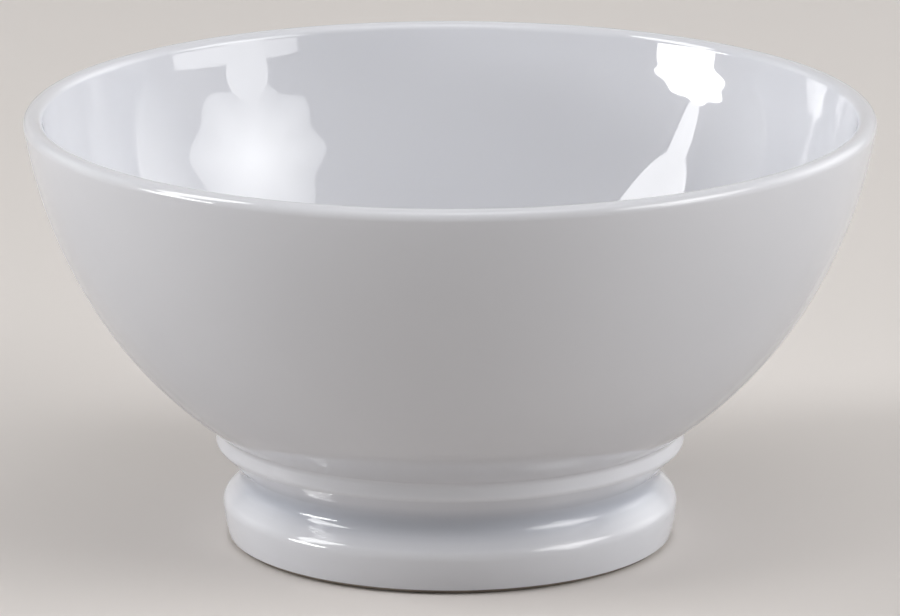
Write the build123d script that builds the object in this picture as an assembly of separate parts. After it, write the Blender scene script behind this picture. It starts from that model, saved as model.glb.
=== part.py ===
"""Footed latte bowl in glazed porcelain.

A turned clay bowl and a turned clay foot are luted with slip and glazed together. Every piece is a
profile turned about the Z axis. The foot's bearing ring stands on z = 0. Sizes are in millimetres
and degrees, and outside sizes are taken over the glaze.
"""
import os
from math import cos, radians, sin, sqrt, tan

from build123d import *

# Bowl
RIM_DIAMETER = 140.0        # across the outside of the lip
HEIGHT = 72.0               # from the bearing ring to the top of the lip
WALL = 3.2                  # wall of the bowl, and width of its full-round lip
RIM_LEAN = 9.0              # lean of the wall from upright at the lip
SPRING_LEAN = 56.0          # lean of the wall from upright where it springs from the collar
BASE = 4.0                  # floor of the bowl, from the hollow of the foot to the inside

# Collar, a narrow turned band under the wall
COLLAR_DIAMETER = 77.8      # across the lower edge of the band
COLLAR_BAND = 2.6           # height of the band
COLLAR_TAPER = 0.5          # the band draws in this much towards the wall
COLLAR_EDGE_ROUND = 1.0
COLLAR_CREASE_ROUND = 1.0   # hollow between the band and the wall

# Neck, a slope that runs in and down from the collar to the foot
NECK_DEPTH = 5.5            # the neck's foot is set in this much from the collar's edge
NECK_HEIGHT = 5.4
NECK_CREASE_ROUND = 2.5     # hollow that sweeps the neck out into the foot

# Foot
FOOT_HEIGHT = 11.0          # from the bearing ring to the crease under the neck
FOOT_SWELL = 4.3            # the foot's shoulder stands out this much from the neck
SHOULDER_HEIGHT = 6.9       # the foot's sloping top meets its side at this height
SHOULDER_ROUND = 2.4
FOOT_TUCK = 1.3             # the foot's side draws in this much from its shoulder to its edge
FOOT_EDGE_ROUND = 1.4       # outer edge of the bearing ring
FOOT_WALL = 4.6             # clay between the neck and the top of the hollow
HOLLOW_DRAFT = 10.0         # slope of the hollow's side from upright
HOLLOW_EDGE_ROUND = 1.2     # inner edge of the bearing ring
HOLLOW_ROUND = 2.0          # fillet of slip between the hollow's side and its ceiling

# Slip joint and glaze
SLIP = 0.6                  # thickness of the slip between the bowl and the foot
SCORE_COUNT = 3             # rings scored into each face of the joint
SCORE_DEPTH = 0.4
SCORE_WIDTH = 0.6
GLAZE = 0.3                 # thickness of the glaze
BARE_HEIGHT = 0.8           # the glaze is wiped off below this height

rim_radius = RIM_DIAMETER / 2
collar_radius = COLLAR_DIAMETER / 2
neck_radius = collar_radius - NECK_DEPTH
foot_radius = neck_radius + FOOT_SWELL
hollow_radius = neck_radius - FOOT_WALL
collar_bottom = FOOT_HEIGHT + NECK_HEIGHT
collar_top = collar_bottom + COLLAR_BAND
bowl_underside = FOOT_HEIGHT + SLIP / 2
foot_top = FOOT_HEIGHT - SLIP / 2
ceiling = bowl_underside - GLAZE
floor = ceiling + BASE
glazed_bottom = -GLAZE      # where the glaze would end if the bearing ring weren't wiped


def leaning(angle):
    """Direction up a wall that leans outwards from upright by this angle."""
    return Vector(sin(radians(angle)), cos(radians(angle)))


def outward(angle):
    """Direction square to that wall, away from the axis."""
    return Vector(cos(radians(angle)), -sin(radians(angle)))


def two_arcs(start, start_way, end, end_way):
    """Two arcs that touch smoothly and leave both ends in the given directions.

    The two arcs have tangents of equal length, which fixes where they meet.
    """
    span = end - start
    ways = start_way + end_way
    a = ways.dot(ways) - 4
    b = -2 * span.dot(ways)
    c = span.dot(span)
    reach = (-b - sqrt(b * b - 4 * a * c)) / (2 * a)
    meeting = (start + start_way * reach + end - end_way * reach) / 2
    lower = TangentArc(start, meeting, tangent=start_way)
    upper = TangentArc(meeting, end, tangent=lower % 1)
    return lower, upper


def round_corners(face, corners):
    """Round the corners of a profile, given as pairs of a point and a radius."""
    for point, radius in corners:
        face = fillet(face.vertices().sort_by_distance(point)[0], radius)
    return face


def glazed_profile():
    """Half section of the whole bowl, over its glaze."""
    # Lip, a half circle that closes the wall
    lip_centre = Vector(rim_radius - WALL / 2, HEIGHT - WALL / 2)
    lip_outside = lip_centre + outward(RIM_LEAN) * (WALL / 2)
    lip_inside = lip_centre - outward(RIM_LEAN) * (WALL / 2)
    lip_top = lip_centre + leaning(RIM_LEAN) * (WALL / 2)
    lip = ThreePointArc(lip_outside, lip_top, lip_inside)

    # Wall, two arcs outside and two about the same centres inside
    spring = Vector(collar_radius - COLLAR_TAPER, collar_top)
    lower, upper = two_arcs(spring, leaning(SPRING_LEAN), lip_outside, leaning(RIM_LEAN))
    centre = lower.arc_center
    inside_radius = lower.radius - WALL
    inside_meeting = centre + (lower @ 1 - centre).normalized() * inside_radius
    inside_spring = spring - outward(SPRING_LEAN) * WALL
    inside_upper = TangentArc(lip_inside, inside_meeting, tangent=-leaning(RIM_LEAN))
    inside_lower = TangentArc(inside_meeting, inside_spring, tangent=inside_upper % 1)

    # Floor, flat in the middle, with an arc that eases the wall into it
    floor_ease = (inside_spring.Y - floor) / tan(radians(90 - SPRING_LEAN) / 2)
    floor_edge = Vector(inside_spring.X - floor_ease, floor)
    inside_foot = TangentArc(inside_spring, floor_edge, tangent=-leaning(SPRING_LEAN))

    # Collar, neck and foot
    collar_edge = Vector(collar_radius, collar_bottom)
    crease = Vector(neck_radius, FOOT_HEIGHT)
    shoulder = Vector(foot_radius, SHOULDER_HEIGHT)
    foot_edge = Vector(foot_radius - FOOT_TUCK, glazed_bottom)
    band = Line(collar_edge, spring)
    neck = Line(collar_edge, crease)
    foot_slope = Line(crease, shoulder)
    flank = TangentArc(shoulder, foot_edge, tangent=(0, -1))

    # Underside
    hollow_top = Vector(hollow_radius, ceiling)
    hollow_spread = tan(radians(HOLLOW_DRAFT)) * (ceiling - glazed_bottom)
    hollow_edge = Vector(hollow_radius + hollow_spread, glazed_bottom)
    underside = Polyline(foot_edge, hollow_edge, hollow_top, (0, ceiling), (0, floor), floor_edge)

    outside = [lip, upper, lower, band, neck, foot_slope, flank]
    inside = [underside, inside_foot, inside_lower, inside_upper]
    return round_corners(
        make_face(Curve() + outside + inside),
        [
            (spring, COLLAR_CREASE_ROUND),
            (collar_edge, COLLAR_EDGE_ROUND),
            (crease, NECK_CREASE_ROUND),
            (shoulder, SHOULDER_ROUND),
            (foot_edge, FOOT_EDGE_ROUND),
            (hollow_edge, HOLLOW_EDGE_ROUND),
            (hollow_top, HOLLOW_ROUND),
        ],
    )


def strip(low, high):
    """Half section of everything between two heights."""
    return Pos(0, low) * Rectangle(rim_radius + WALL, high - low, align=(Align.MIN, Align.MIN))


def parallel(edge, face):
    """Line or arc that runs one glaze thickness inside the edge of a face."""
    middle_way = edge % 0.5
    inward = Vector(-middle_way.Y, middle_way.X)
    turn = 90 if face.is_inside(edge @ 0.5 + inward * GLAZE) else -90
    start, middle, end = (edge @ t + (edge % t).rotate(Axis.Z, turn) * GLAZE for t in (0, 0.5, 1))
    if edge.geom_type == GeomType.LINE:
        return Line(start, end)
    return ThreePointArc(start, middle, end)


def clay_and_skin(glazed):
    """Half sections of the clay and of the skin of glaze that would cover all of it."""
    surface = glazed.edges().sort_by(Axis.X)[1:]   # all but the edge on the axis
    under_glaze = [parallel(edge, glazed.face()) for edge in surface]
    clay_axis = Line((0, bowl_underside), (0, floor - GLAZE))
    under_cap = Line((0, ceiling), (0, bowl_underside))
    floor_cap = Line((0, floor - GLAZE), (0, floor))
    clay = make_face(Curve() + under_glaze + clay_axis)
    skin = make_face(Curve() + surface + under_glaze + [under_cap, floor_cap])
    return clay, skin


def score_marks(height):
    """Diamond sections of the rings scored into a face of the joint at this height."""
    spacing = FOOT_WALL / (SCORE_COUNT + 1)
    diamond = Polygon(
        (-SCORE_WIDTH / 2, 0), (0, -SCORE_DEPTH), (SCORE_WIDTH / 2, 0), (0, SCORE_DEPTH), align=None
    )
    return [Pos(hollow_radius + spacing * (i + 1), height) * diamond for i in range(SCORE_COUNT)]


def hollow_block():
    """Half section of the foot's hollow in the clay, with no fillet under its ceiling."""
    slope = tan(radians(HOLLOW_DRAFT))
    top = hollow_radius + GLAZE / cos(radians(HOLLOW_DRAFT))
    return Polygon(
        (0, glazed_bottom),
        (top + slope * (ceiling - glazed_bottom), glazed_bottom),
        (top - slope * GLAZE, bowl_underside),
        (0, bowl_underside),
        align=None,
    )


def turned(profile):
    """Solid turned about the Z axis from a half section."""
    return revolve(Plane.XZ * profile, axis=Axis.Z)


glazed = glazed_profile()
clay, skin = clay_and_skin(glazed)

bowl_section = clay & strip(bowl_underside, HEIGHT)
bowl_section -= score_marks(bowl_underside)

foot_section = clay & strip(glazed_bottom, foot_top)
foot_section -= [hollow_block()] + score_marks(foot_top)

slip_section = (clay & strip(glazed_bottom, bowl_underside + SCORE_DEPTH)) - bowl_section - foot_section

skins = skin - strip(2 * glazed_bottom, BARE_HEIGHT)
recess_section, coat_section = skins.faces().sort_by(SortBy.AREA)

pieces = {
    "bowl_body": bowl_section,
    "foot_ring": foot_section,
    "joint_slip": slip_section,
    "glaze_coat": coat_section,
    "recess_glaze": recess_section,
}

os.makedirs("parts", exist_ok=True)
for node, section in pieces.items():
    export_step(turned(section), f"parts/{node}.step")
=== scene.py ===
"""Footed latte bowl in white glazed porcelain, on a plain studio floor.

The glaze coat is a half section turned about the Z axis. The section is a chain of arcs in complex
numbers: the real part is the distance from the axis, the imaginary part is the height, in metres.
"""

from collections import namedtuple
from math import cos, pi, radians, sin, sqrt, tan

import bpy
import numpy as np
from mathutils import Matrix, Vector


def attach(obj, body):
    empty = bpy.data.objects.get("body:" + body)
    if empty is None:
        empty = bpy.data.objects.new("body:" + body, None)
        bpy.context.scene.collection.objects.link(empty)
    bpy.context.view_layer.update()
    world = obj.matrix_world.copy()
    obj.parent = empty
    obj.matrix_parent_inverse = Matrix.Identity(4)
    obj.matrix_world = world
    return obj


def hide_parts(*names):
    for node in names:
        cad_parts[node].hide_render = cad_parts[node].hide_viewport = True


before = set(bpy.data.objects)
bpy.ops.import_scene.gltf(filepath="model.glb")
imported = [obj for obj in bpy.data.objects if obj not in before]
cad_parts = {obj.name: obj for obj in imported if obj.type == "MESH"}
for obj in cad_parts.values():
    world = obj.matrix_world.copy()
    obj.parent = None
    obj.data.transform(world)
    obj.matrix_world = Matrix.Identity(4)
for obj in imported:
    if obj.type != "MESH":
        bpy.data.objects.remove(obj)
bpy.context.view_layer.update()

bl_info = {
    "name": "Footed latte bowl",
    "version": (1, 0, 0),
    "blender": (4, 5, 0),
    "location": "3D View > Sidebar > Bowl",
    "description": "Turned porcelain bowl on a hollow foot, glazed and set on a studio floor",
    "category": "Object",
}

MM = 0.001

# Fineness of the meshes
FAR = 20.0                      # a straight stretch is an arc about a centre this far off, in metres
SEGMENTS = 240                  # steps round the bowl
OUTER_STEP = 2.5 * MM           # longest step along the outer face of the glaze
OUTER_TURN = radians(5)         # widest turn from one of those steps to the next
UNDER_STEP = 6 * MM             # the same two for the face on the clay, which is never seen
UNDER_TURN = radians(15)
SHARP = radians(40)             # edges that turn more than this stay sharp

# Studio, in metres where nothing else is said
FLOOR_HALF = 4.0                # half the side of the floor
FLOOR_THROW = 0.7               # share of the floor's colour in the light that it throws on the bowl
ROOM_SEEN = 0.8                 # brightness of the room where it is seen, also in the glaze
ROOM_THROW = 0.1                # brightness of the room in the light that it throws
LAMP_AWAY = 1.8                 # from each lamp to the point that it faces
LAMP_AIM = np.array([0, 0, 0.04])
LAMP_RIBS = 8                   # ribs in an umbrella's cloth
LAMP_STEPS = 96                 # steps round a lamp's edge
LAMP_RINGS = 8                  # rings from a lamp's middle to its edge
CAMERA_AWAY = 1.1963            # from the camera to the point that it faces
CAMERA_AIM = Vector((0, 0, 0.03843))
CAMERA_RISE = radians(14.55)    # how far it looks down
CAMERA_LENS = 289.7             # millimetres
CAMERA_SENSOR = 36.0            # millimetres
CAMERA_REACH = 50.0             # nothing farther off is drawn


# Sizes and colours

def length(name, description, millimetres):
    """Property for a length, with its default in millimetres."""
    return bpy.props.FloatProperty(
        name=name, description=description, default=millimetres * MM, min=0.0, unit="LENGTH", precision=4
    )


def angle(name, description, degrees):
    """Property for an angle, with its default in degrees."""
    return bpy.props.FloatProperty(
        name=name, description=description, default=radians(degrees), subtype="ANGLE", unit="ROTATION"
    )


def colour(name, description, hex_code):
    """Property for a colour, with its default as an sRGB hex code."""
    return bpy.props.FloatVectorProperty(
        name=name,
        description=description,
        default=linear(hex_code),
        size=3,
        subtype="COLOR",
        min=0.0,
        max=1.0,
    )


def linear(hex_code):
    """Linear red, green and blue of an sRGB hex code."""
    parts = np.array([int(hex_code[i : i + 2], 16) for i in (1, 3, 5)]) / 255
    return tuple(np.where(parts <= 0.04045, parts / 12.92, ((parts + 0.055) / 1.055) ** 2.4))


class BowlSizes(bpy.types.PropertyGroup):
    """Sizes of the bowl, over its glaze."""

    rim_diameter: length("Rim diameter", "Across the outside of the lip", 140.0)
    height: length("Height", "From the bearing ring to the top of the lip", 72.0)
    wall: length("Wall", "Wall of the bowl, and width of its full-round lip", 3.2)
    rim_lean: angle("Rim lean", "Lean of the wall from upright at the lip", 9.0)
    spring_lean: angle("Spring lean", "Lean of the wall from upright at the collar", 56.0)
    base: length("Base", "Floor of the bowl, from the hollow of the foot to the inside", 4.0)
    collar_diameter: length("Collar diameter", "Across the lower edge of the collar's band", 77.8)
    collar_band: length("Collar band", "Height of the collar's band", 2.6)
    collar_taper: length("Collar taper", "How much the band draws in towards the wall", 0.5)
    collar_edge_round: length("Collar edge", "Radius of the band's lower edge", 1.0)
    collar_crease_round: length("Collar crease", "Radius of the hollow between band and wall", 1.0)
    neck_depth: length("Neck depth", "How far the neck's foot is set in from the collar", 5.5)
    neck_height: length("Neck height", "Height of the slope under the collar", 5.4)
    neck_crease_round: length("Neck crease", "Radius of the hollow between neck and foot", 2.5)
    foot_height: length("Foot height", "From the bearing ring to the crease under the neck", 11.0)
    foot_swell: length("Foot swell", "How far the foot's shoulder stands out from the neck", 4.3)
    shoulder_height: length("Shoulder height", "Where the foot's sloping top meets its side", 6.9)
    shoulder_round: length("Shoulder round", "Radius of the foot's shoulder", 2.4)
    foot_tuck: length("Foot tuck", "How much the foot's side draws in towards its edge", 1.3)
    slip: length("Slip", "Thickness of the slip between bowl and foot", 0.6)
    glaze: length("Glaze", "Thickness of the glaze", 0.3)
    bare_height: length("Bare height", "The glaze is wiped off below this height", 0.8)
    # The glaze gathers near the neck's crease, and its darker tint there also paints the shade in that
    # crease
    pool_and_shade_width: length("Pool width", "How far from the neck's crease the glaze gathers", 2.6)


class BowlColours(bpy.types.PropertyGroup):
    """Colours of the bowl and of the floor."""

    porcelain: colour("Porcelain", "White body seen through the glaze", "#DFE0E5")
    # Pooled glaze tint, made dark enough to also paint the shade in the neck's crease
    pooled_glaze_and_shade: colour("Pooled glaze", "Where the glaze gathers thick in a crease", "#B0B5C0")
    # Stained bare clay, darkened further to paint the contact shadow at the foot's edge
    bare_clay_and_shade: colour("Bare clay", "Fired clay that the glaze was wiped from", "#9C9388")
    kiln_stain: colour("Kiln stain", "Patches that the kiln shelf left on the bare clay", "#6E6459")
    speck: colour("Speck", "Iron specks in the clay", "#8C8176")
    floor: colour("Floor", "Paper that the bowl stands on", "#E1DCD8")


# Half section

Arc = namedtuple("Arc", "centre radius start end hollow")
Arc.__doc__ = "Part of a circle between two points on it, hollow where the clay lies outside the circle."


def leaning(lean):
    """Direction up a wall that leans outwards from upright by this angle."""
    return complex(sin(lean), cos(lean))


def outward(lean):
    """Direction square to that wall, away from the axis."""
    return complex(cos(lean), -sin(lean))


def leaving(start, way, end):
    """Centre of the arc that leaves start in a direction and reaches end.

    It lies square to the direction, as far from start as from end.
    """
    span = end - start
    square = 1j * way
    return start + square * abs(span) ** 2 / (2 * (span * square.conjugate()).real)


def straight(start, end, side):
    """Centre of the nearly straight arc between two points, far off on one side of it."""
    way = (end - start) / abs(end - start)
    return (start + end) / 2 + side * 1j * way * FAR


def two_arcs(start, start_way, end, end_way):
    """Two arcs that touch and leave both ends in given directions: their centres and where they touch.

    Their tangents up to that point are equally long, and a quadratic gives how long.
    """
    span = end - start
    ways = start_way + end_way
    a = abs(ways) ** 2 - 4
    b = -2 * (span * ways.conjugate()).real
    c = abs(span) ** 2
    reach = (-b - sqrt(b * b - 4 * a * c)) / (2 * a)
    meeting = (start + start_way * reach + end - end_way * reach) / 2
    return leaving(start, start_way, meeting), leaving(end, end_way, meeting), meeting


def rolling(first, first_reach, second, second_reach, corner):
    """Centre of a ball at known distances from two centres, the one of two that is nearer the corner.

    The cosine rule gives its place along the line of centres, and Pythagoras how far off that line.
    """
    span = second - first
    gap = abs(span)
    along = (first_reach**2 - second_reach**2 + gap**2) / (2 * gap)
    aside = sqrt(first_reach**2 - along**2)
    choices = [first + span / gap * complex(along, turn * aside) for turn in (1, -1)]
    return min(choices, key=lambda centre: abs(centre - corner))


def eased(stretches, corners):
    """Chain of arcs along circles, with a ball rolled into each corner between two of them.

    A stretch is a centre, a radius and whether it is hollow. A corner is a point, the ball's radius and
    whether the ball lies in the air. A ball of radius 0 leaves the corner as it is. The ball touches a
    circle on the line through both centres.
    """
    chain = []
    begin = corners[0][0]
    for i, (centre, radius, hollow) in enumerate(stretches):
        point, ball, in_air = corners[i + 1]
        if ball == 0:
            chain.append(Arc(centre, radius, begin, point, hollow))
            begin = point
            continue
        next_centre, next_radius, next_hollow = stretches[i + 1]
        reach = radius + (ball if hollow != in_air else -ball)
        next_reach = next_radius + (ball if next_hollow != in_air else -ball)
        middle = rolling(centre, reach, next_centre, next_reach, point)
        touch = centre + (middle - centre) * radius / reach
        next_touch = next_centre + (middle - next_centre) * next_radius / next_reach
        chain.append(Arc(centre, radius, begin, touch, hollow))
        chain.append(Arc(middle, ball, touch, next_touch, in_air))
        begin = next_touch
    return chain


def traced(chain, inset, step, turn):
    """Points along a chain of arcs, moved into the clay by inset.

    Each arc is centre + radius * exp(i * angle), in steps no longer than step and no wider than turn.
    """
    points = []
    for arc in chain:
        radius = arc.radius + (inset if arc.hollow else -inset)
        first = np.angle(arc.start - arc.centre)
        swing = np.angle((arc.end - arc.centre) / (arc.start - arc.centre))
        count = int(max(np.ceil(abs(swing) * arc.radius / step), np.ceil(abs(swing) / turn), 2))
        angles = first + swing * np.linspace(0, 1, count + 1)
        points.append(arc.centre + radius * np.exp(1j * angles))
    return np.concatenate([stretch[:-1] for stretch in points] + [points[-1][-1:]])


def outer_chain(sizes):
    """Arcs from the bare line on the foot up the outside, over the lip and down to the middle inside.

    Also gives the crease that the glaze runs into.
    """
    collar_radius = sizes.collar_diameter / 2
    neck_radius = collar_radius - sizes.neck_depth
    foot_radius = neck_radius + sizes.foot_swell
    collar_bottom = sizes.foot_height + sizes.neck_height
    inside_floor = sizes.foot_height + sizes.slip / 2 - sizes.glaze + sizes.base
    lip_radius = sizes.wall / 2

    # Lip, a half circle that closes the wall
    lip = complex(sizes.rim_diameter / 2 - lip_radius, sizes.height - lip_radius)
    lip_outside = lip + outward(sizes.rim_lean) * lip_radius
    lip_inside = lip - outward(sizes.rim_lean) * lip_radius
    lip_top = lip + leaning(sizes.rim_lean) * lip_radius

    # Wall, two arcs outside and two about the same centres inside
    spring = complex(collar_radius - sizes.collar_taper, collar_bottom + sizes.collar_band)
    lower, upper, meeting = two_arcs(
        spring, leaning(sizes.spring_lean), lip_outside, leaning(sizes.rim_lean)
    )
    lower_radius = abs(spring - lower)
    upper_radius = abs(lip_outside - upper)
    inside_meeting = lower + (meeting - lower) * (1 - sizes.wall / lower_radius)
    inside_spring = spring - outward(sizes.spring_lean) * sizes.wall

    # Floor, flat in the middle, with an arc that eases the wall into it
    floor_ease = (inside_spring.imag - inside_floor) / tan((pi / 2 - sizes.spring_lean) / 2)
    floor_edge = complex(inside_spring.real - floor_ease, inside_floor)
    dish = leaving(inside_spring, -leaning(sizes.spring_lean), floor_edge)
    floor_middle = complex(0, inside_floor)

    # Foot, neck and collar
    collar_edge = complex(collar_radius, collar_bottom)
    crease = complex(neck_radius, sizes.foot_height)
    shoulder = complex(foot_radius, sizes.shoulder_height)
    foot_edge = complex(foot_radius - sizes.foot_tuck, -sizes.glaze)
    flank = leaving(shoulder, -1j, foot_edge)
    flank_radius = abs(shoulder - flank)
    bare_reach = sqrt(flank_radius**2 - (sizes.bare_height - flank.imag) ** 2)
    bare_line = complex(flank.real + bare_reach, sizes.bare_height)

    stretches = [
        (flank, flank_radius, False),
        (straight(shoulder, crease, 1), FAR, False),
        (straight(crease, collar_edge, 1), FAR, False),
        (straight(collar_edge, spring, 1), FAR, False),
        (lower, lower_radius, False),
        (upper, upper_radius, False),
        (lip, lip_radius, False),
        (lip, lip_radius, False),
        (upper, upper_radius - sizes.wall, True),
        (lower, lower_radius - sizes.wall, True),
        (dish, abs(floor_edge - dish), True),
        (straight(floor_edge, floor_middle, -1), FAR, True),
    ]
    corners = [
        (bare_line, 0, False),
        (shoulder, sizes.shoulder_round, False),
        (crease, sizes.neck_crease_round, True),
        (collar_edge, sizes.collar_edge_round, False),
        (spring, sizes.collar_crease_round, True),
        (meeting, 0, False),
        (lip_outside, 0, False),
        (lip_top, 0, False),
        (lip_inside, 0, False),
        (inside_meeting, 0, False),
        (inside_spring, 0, False),
        (floor_edge, 0, False),
        (floor_middle, 0, False),
    ]
    return eased(stretches, corners), crease


# Meshes

def turned(name, section):
    """Closed surface turned about the Z axis from a half section whose two ends lie on the axis.

    A point at distance r and height z becomes (r cos u, r sin u, z) for u round the circle. Each end on
    the axis is one point with a fan of triangles round it. The sign of the section's area tells which
    way it runs, so that the faces point outwards.
    """
    rings = section[1:-1]
    around = np.linspace(0, 2 * pi, SEGMENTS, endpoint=False)
    x = np.outer(rings.real, np.cos(around))
    y = np.outer(rings.real, np.sin(around))
    z = np.repeat(rings.imag[:, None], SEGMENTS, axis=1)
    grid = np.stack([x, y, z], axis=-1).reshape(-1, 3)
    poles = np.array([[0, 0, section[0].imag], [0, 0, section[-1].imag]])
    index = np.arange(len(grid)).reshape(len(rings), SEGMENTS)
    onward = np.roll(index, -1, axis=1)
    quads = np.stack([index[:-1], onward[:-1], onward[1:], index[1:]], axis=-1).reshape(-1, 4)
    first = np.stack([np.full(SEGMENTS, len(grid)), onward[0], index[0]], axis=-1)
    last = np.stack([np.full(SEGMENTS, len(grid) + 1), index[-1], onward[-1]], axis=-1)
    faces = [quads, first, last]
    area = np.sum((section.conjugate() * np.roll(section, -1)).imag)
    if area < 0:
        faces = [part[:, ::-1] for part in faces]
    return piece(name, np.concatenate([grid, poles]), faces)


def pooled_and_shaded(coat, section, crease, width):
    """Store how much glaze gathers at each point of a turned coat.

    It is exp(-(distance from the crease / width) squared).
    """
    amount = np.exp(-(abs(section - crease) / width) ** 2)
    attribute = coat.data.attributes.new("pool_and_shade", "FLOAT", "POINT")
    attribute.data.foreach_set("value", np.append(np.repeat(amount[1:-1], SEGMENTS), amount[[0, -1]]))


def piece(name, points, faces):
    """Smooth mesh object at the origin, with its sharp edges kept."""
    mesh = bpy.data.meshes.new(name)
    mesh.from_pydata(points, [], [face for part in faces for face in part.tolist()])
    mesh.shade_smooth()
    mesh.set_sharp_from_angle(angle=SHARP)
    thing = bpy.data.objects.new(name, mesh)
    bpy.context.scene.collection.objects.link(thing)
    return thing


def dress(thing, material):
    """Give a piece one material."""
    thing.data.materials.clear()
    thing.data.materials.append(material)


# Materials

def add(owner, kind, settings=(), links=()):
    """Node of a kind in a material or world, with its settings and sockets set and its inputs linked."""
    tree = owner.node_tree
    node = tree.nodes.new(kind)
    for name, value in dict(settings).items():
        if isinstance(name, int) or name in node.inputs:
            node.inputs[name].default_value = value
        else:
            setattr(node, name, value)
    for name, output in dict(links).items():
        tree.links.new(output, node.inputs[name])
    return node


def blank_material(name):
    """Material with no nodes."""
    material = bpy.data.materials.new(name)
    material.use_nodes = True
    material.node_tree.nodes.clear()
    return material


def per_metre(millimetres):
    """Scale of a pattern whose cells are this many millimetres across."""
    return 1 / (millimetres * MM)


def glazed_porcelain(colours):
    """Porcelain dipped in a clear gloss glaze and fired.

    To the eye: a cool white body with sharp mirror highlights that waver a little, because the glaze
    flowed before it set. It is a shade bluer where the glaze gathered, and has a few fine iron specks.
    """
    material = blank_material("clear gloss glaze on porcelain, dipped")
    place = add(material, "ShaderNodeTexCoord").outputs["Object"]

    # Long swells in the glaze, 25 mm apart
    swell = add(
        material,
        "ShaderNodeTexNoise",
        {"Scale": per_metre(25), "Detail": 1.0, "Roughness": 0.4},
        {"Vector": place},
    ).outputs["Fac"]
    bump = add(material, "ShaderNodeBump", {"Strength": 0.12, "Distance": 0.12 * MM}, {"Height": swell})

    # The glaze is thicker in the crease and, by a tenth as much, along the swells. Its darker tint in
    # the crease is painted shade as well as pooled glaze
    pool_and_shade = add(material, "ShaderNodeAttribute", {"attribute_name": "pool_and_shade"}).outputs["Fac"]
    thick_and_shaded = add(
        material,
        "ShaderNodeMath",
        {"operation": "MULTIPLY_ADD", 1: 0.1, "use_clamp": True},
        {0: swell, 2: pool_and_shade},
    )
    body = add(
        material,
        "ShaderNodeMixRGB",
        {"Color1": (*colours.porcelain, 1), "Color2": (*colours.pooled_glaze_and_shade, 1)},
        {"Fac": thick_and_shaded.outputs[0]},
    )

    # Specks, in millimetres
    speck_across = 0.3
    speck_apart = 20
    grains = add(material, "ShaderNodeTexVoronoi", {"Scale": per_metre(speck_apart)}, {"Vector": place})
    speck = add(
        material,
        "ShaderNodeMath",
        {"operation": "LESS_THAN", 1: speck_across / 2 / speck_apart},
        {0: grains.outputs["Distance"]},
    )
    tone = add(
        material,
        "ShaderNodeMixRGB",
        {"Color2": (*colours.speck, 1)},
        {"Fac": speck.outputs[0], "Color1": body.outputs["Color"]},
    )
    shader = add(
        material,
        "ShaderNodeBsdfPrincipled",
        {"Roughness": 0.03, "IOR": 1.6},
        {"Base Color": tone.outputs["Color"], "Normal": bump.outputs["Normal"]},
    )
    add(material, "ShaderNodeOutputMaterial", {}, {"Surface": shader.outputs["BSDF"]})
    return material


def bare_porcelain(colours):
    """Porcelain clay, fired bare after the glaze was sponged off.

    To the eye: warm, matt and faintly gritty, with soft brown patches from the kiln shelf.
    """
    material = blank_material("bare fired porcelain, sponged, with painted contact shadow")
    place = add(material, "ShaderNodeTexCoord").outputs["Object"]

    # Grit 0.4 mm across
    grit = add(
        material, "ShaderNodeTexNoise", {"Scale": per_metre(0.4), "Detail": 2.0}, {"Vector": place}
    ).outputs["Fac"]
    bump = add(material, "ShaderNodeBump", {"Strength": 0.4, "Distance": 0.05 * MM}, {"Height": grit})

    # Stain in patches 6 mm across
    stain = add(
        material, "ShaderNodeTexNoise", {"Scale": per_metre(6), "Detail": 2.0}, {"Vector": place}
    ).outputs["Fac"]
    # The bare clay's dark colour is partly painted contact shadow under the foot's edge
    tone = add(
        material,
        "ShaderNodeMixRGB",
        {"Color1": (*colours.bare_clay_and_shade, 1), "Color2": (*colours.kiln_stain, 1)},
        {"Fac": stain},
    )
    shader = add(
        material,
        "ShaderNodeBsdfPrincipled",
        {"Roughness": 0.75, "IOR": 1.5},
        {"Base Color": tone.outputs["Color"], "Normal": bump.outputs["Normal"]},
    )
    add(material, "ShaderNodeOutputMaterial", {}, {"Surface": shader.outputs["BSDF"]})
    return material


def seen_or_thrown(owner, seen, thrown):
    """Socket with one value where a thing is seen and another in the light that it throws.

    Seen in gloss or through glass counts as seen.
    """
    rays = add(owner, "ShaderNodeLightPath").outputs
    shown = rays["Is Camera Ray"]
    for kind in ("Is Glossy Ray", "Is Transmission Ray"):
        either = add(owner, "ShaderNodeMath", {"operation": "MAXIMUM"}, {0: shown, 1: rays[kind]})
        shown = either.outputs[0]
    share = add(
        owner, "ShaderNodeMath", {"operation": "MULTIPLY_ADD", 1: seen - thrown, 2: thrown}, {0: shown}
    )
    return share.outputs[0]


def backdrop_paper(colours):
    """Seamless paper.

    To the eye: an even, matt, warm pale grey. Only a share of its colour is in the light that it throws.
    """
    material = blank_material("seamless backdrop paper, matt")
    share = seen_or_thrown(material, 1, FLOOR_THROW)
    tone = add(
        material, "ShaderNodeVectorMath", {"operation": "SCALE", 0: colours.floor}, {"Scale": share}
    )
    paper = add(material, "ShaderNodeBsdfDiffuse", {}, {"Color": tone.outputs["Vector"]})
    add(material, "ShaderNodeOutputMaterial", {}, {"Surface": paper.outputs["BSDF"]})
    return material


def lit_cloth():
    """White lamp cloth.

    To the eye: a soft glow, as bright at each point as the lamp's own attribute says.
    """
    material = blank_material("white lamp cloth, lit")
    glow = add(material, "ShaderNodeAttribute", {"attribute_name": "glow"})
    light = add(material, "ShaderNodeEmission", {}, {"Strength": glow.outputs["Fac"]})
    add(material, "ShaderNodeOutputMaterial", {}, {"Surface": light.outputs["Emission"]})
    return material


# Studio

Lamp = namedtuple("Lamp", "name turn rise wide tall middle edge tilt scallop", defaults=(1.0, 0.0, 0.0))
Lamp.__doc__ = """Lit cloth as the bowl sees it.

It lies turn degrees to the viewer's right of the camera and rise degrees up. It is wide and tall degrees
from its middle to its edges, and is turned by tilt degrees in its own plane. It glows by middle in its
middle and by edge times that at its edge, which dips in by the share scallop between its ribs.
"""

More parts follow.
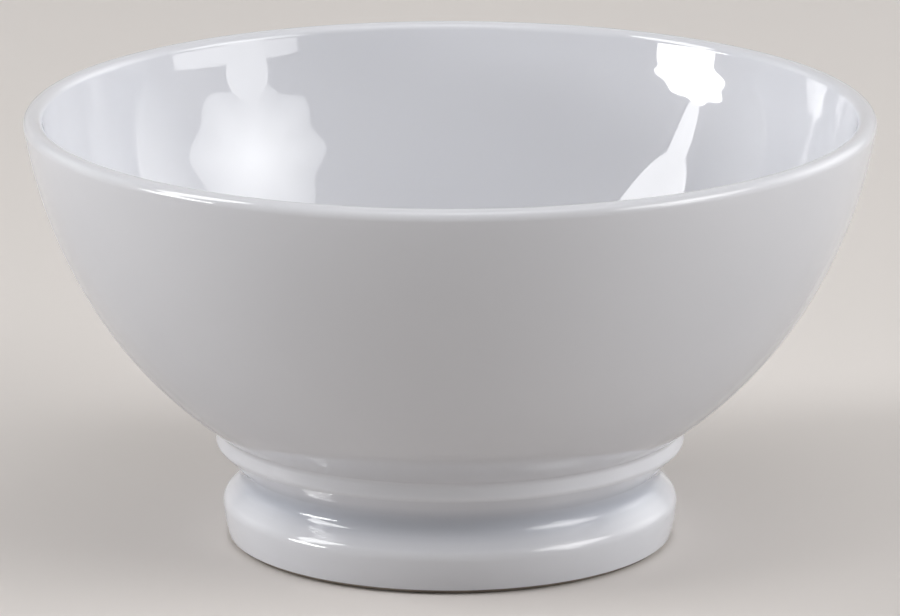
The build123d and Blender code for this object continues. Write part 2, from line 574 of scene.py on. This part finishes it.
LAMPS = (
    Lamp("right_umbrella", turn=69, rise=28, wide=23.5, tall=17, middle=7.6, edge=0.35, scallop=0.14),
    Lamp("right_low_card", turn=67, rise=6.6, wide=22, tall=1.3, middle=4.5, edge=0.8, tilt=6),
    Lamp("right_stand", turn=63, rise=10.5, wide=7, tall=6, middle=4.5),
    Lamp("right_wall", turn=120, rise=20, wide=30, tall=26, middle=3.0, edge=0.2),
    Lamp("left_round_box", turn=-80.5, rise=39, wide=10, tall=16, middle=7.2),
    Lamp("left_stand", turn=-79.5, rise=25, wide=3.5, tall=14, middle=6.8),
    Lamp("left_umbrella", turn=-76, rise=8.6, wide=13.5, tall=4.8, middle=16.0, scallop=0.14),
    Lamp("left_wall", turn=-120, rise=20, wide=30, tall=26, middle=1.4, edge=0.2),
    Lamp("top_cloth", turn=20, rise=74, wide=30, tall=16, middle=3.0, edge=0.3),
)


def lamp_shade(lamp):
    """Flat lit shade that faces the bowl: an ellipse whose edge dips in between its ribs.

    Its edge is 1 - scallop * cos(ribs / 2 * t) squared of the ellipse at angle t, and its light falls
    evenly from the middle to the edge. The camera sees it only in the glaze.
    """
    turn, rise, tilt = radians(lamp.turn), radians(lamp.rise), radians(lamp.tilt)
    way = np.array([sin(turn) * cos(rise), -cos(turn) * cos(rise), sin(rise)])
    level = np.array([cos(turn), sin(turn), 0])
    upright = np.cross(way, level)
    across = level * cos(tilt) - upright * sin(tilt)
    along = upright * cos(tilt) + level * sin(tilt)

    around = np.linspace(0, 2 * pi, LAMP_STEPS, endpoint=False)
    t, share = np.meshgrid(around, np.linspace(0, 1, LAMP_RINGS + 1)[1:])
    reach = share * (1 - lamp.scallop * np.cos(LAMP_RIBS / 2 * t) ** 2) * LAMP_AWAY
    u = reach * tan(radians(lamp.wide)) * np.cos(t)
    v = reach * tan(radians(lamp.tall)) * np.sin(t)
    middle = LAMP_AIM + way * LAMP_AWAY
    points = middle + u[..., None] * across + v[..., None] * along

    index = np.arange(t.size).reshape(t.shape)
    onward = np.roll(index, -1, axis=1)
    quads = np.stack([index[:-1], index[1:], onward[1:], onward[:-1]], axis=-1).reshape(-1, 4)
    fan = np.stack([np.full(LAMP_STEPS, t.size), index[0], onward[0]], axis=-1)
    shade = piece(lamp.name, np.concatenate([points.reshape(-1, 3), [middle]]), [quads, fan])
    shares = np.append(share.ravel(), 0)
    glow = shade.data.attributes.new("glow", "FLOAT", "POINT")
    glow.data.foreach_set("value", lamp.middle * (1 - (1 - lamp.edge) * shares))
    shade.visible_camera = False
    return shade


def studio_floor():
    """Square floor under the bowl."""
    corners = np.array([[-1, -1, 0], [1, -1, 0], [1, 1, 0], [-1, 1, 0]]) * FLOOR_HALF
    return piece("floor", corners, [np.array([[0, 1, 2, 3]])])


def pale_room(colours):
    """World in the floor's colour, so that the glaze sees a pale room past the floor's end."""
    world = bpy.data.worlds.new("studio")
    world.use_nodes = True
    room = world.node_tree.nodes["Background"].inputs
    room["Color"].default_value = (*colours.floor, 1)
    world.node_tree.links.new(seen_or_thrown(world, ROOM_SEEN, ROOM_THROW), room["Strength"])
    return world


def studio_camera():
    """Camera in front of the bowl, looking down on it."""
    camera = bpy.data.cameras.new("camera")
    camera.lens = CAMERA_LENS
    camera.sensor_width = CAMERA_SENSOR
    camera.clip_end = CAMERA_REACH
    viewer = bpy.data.objects.new("camera", camera)
    away = Vector((0, -cos(CAMERA_RISE), sin(CAMERA_RISE))) * CAMERA_AWAY
    viewer.location = CAMERA_AIM + away
    viewer.rotation_euler = (-away).to_track_quat("-Z", "Y").to_euler()
    bpy.context.scene.collection.objects.link(viewer)
    return viewer


# Operators

class BOWL_OT_glaze_coat(bpy.types.Operator):
    """Glaze on the foot, wall, lip and inside as one closed skin, and glaze in the hollow of the foot"""

    bl_idname = "bowl.glaze_coat"
    bl_label = "Glaze coat"

    def execute(self, context):
        sizes = context.scene.bowl_sizes
        glaze = glazed_porcelain(context.scene.bowl_colours)
        chain, crease = outer_chain(sizes)
        over = traced(chain, 0, OUTER_STEP, OUTER_TURN)
        under = traced(chain, sizes.glaze, UNDER_STEP, UNDER_TURN)
        section = np.concatenate([over[::-1], under])
        coat = turned("glaze_coat_skin", section)
        # Pooled glaze near the neck's crease, whose tint also paints the crease's shade
        pooled_and_shaded(coat, section, crease, sizes.pool_and_shade_width)
        dress(coat, glaze)
        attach(coat, "root")
        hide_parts("glaze_coat")
        dress(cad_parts["recess_glaze"], glaze)
        return {"FINISHED"}


class BOWL_OT_clay(bpy.types.Operator):
    """Bare clay of the bowl, the foot and the slip between them"""

    bl_idname = "bowl.clay"
    bl_label = "Clay"

    def execute(self, context):
        clay = bare_porcelain(context.scene.bowl_colours)
        for node in ("bowl_body", "foot_ring", "joint_slip"):
            dress(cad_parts[node], clay)
        return {"FINISHED"}


class BOWL_OT_stage(bpy.types.Operator):
    """Floor, soft lamps, pale room and camera"""

    bl_idname = "bowl.stage"
    bl_label = "Stage"

    def execute(self, context):
        scene = context.scene
        floor = studio_floor()
        dress(floor, backdrop_paper(scene.bowl_colours))
        cloth = lit_cloth()
        for lamp in LAMPS:
            shade = lamp_shade(lamp)
            dress(shade, cloth)
        scene.world = pale_room(scene.bowl_colours)
        scene.camera = studio_camera()
        scene.view_settings.view_transform = "Standard"
        return {"FINISHED"}


class BOWL_PT_panel(bpy.types.Panel):
    """Steps that build the bowl, and its sizes and colours"""

    bl_label = "Footed latte bowl"
    bl_idname = "BOWL_PT_panel"
    bl_space_type = "VIEW_3D"
    bl_region_type = "UI"
    bl_category = "Bowl"

    def draw(self, context):
        for operator in OPERATORS:
            self.layout.operator(operator.bl_idname)
        for group in (context.scene.bowl_sizes, context.scene.bowl_colours):
            for name in group.__annotations__:
                self.layout.prop(group, name)


OPERATORS = (BOWL_OT_glaze_coat, BOWL_OT_clay, BOWL_OT_stage)
CLASSES = (BowlSizes, BowlColours, *OPERATORS, BOWL_PT_panel)


def register():
    """Add the classes, and the bowl's sizes and colours to the scene."""
    for cls in CLASSES:
        bpy.utils.register_class(cls)
    bpy.types.Scene.bowl_sizes = bpy.props.PointerProperty(type=BowlSizes)
    bpy.types.Scene.bowl_colours = bpy.props.PointerProperty(type=BowlColours)


def unregister():
    """Take away what register adds."""
    del bpy.types.Scene.bowl_sizes
    del bpy.types.Scene.bowl_colours
    for cls in reversed(CLASSES):
        bpy.utils.unregister_class(cls)


def main():
    """Build every piece and the stage, and note the sizes of the solids and of the finished bowl."""
    register()
    bpy.ops.bowl.glaze_coat()
    bpy.ops.bowl.clay()
    bpy.ops.bowl.stage()


if __name__ == "__main__":
    main()
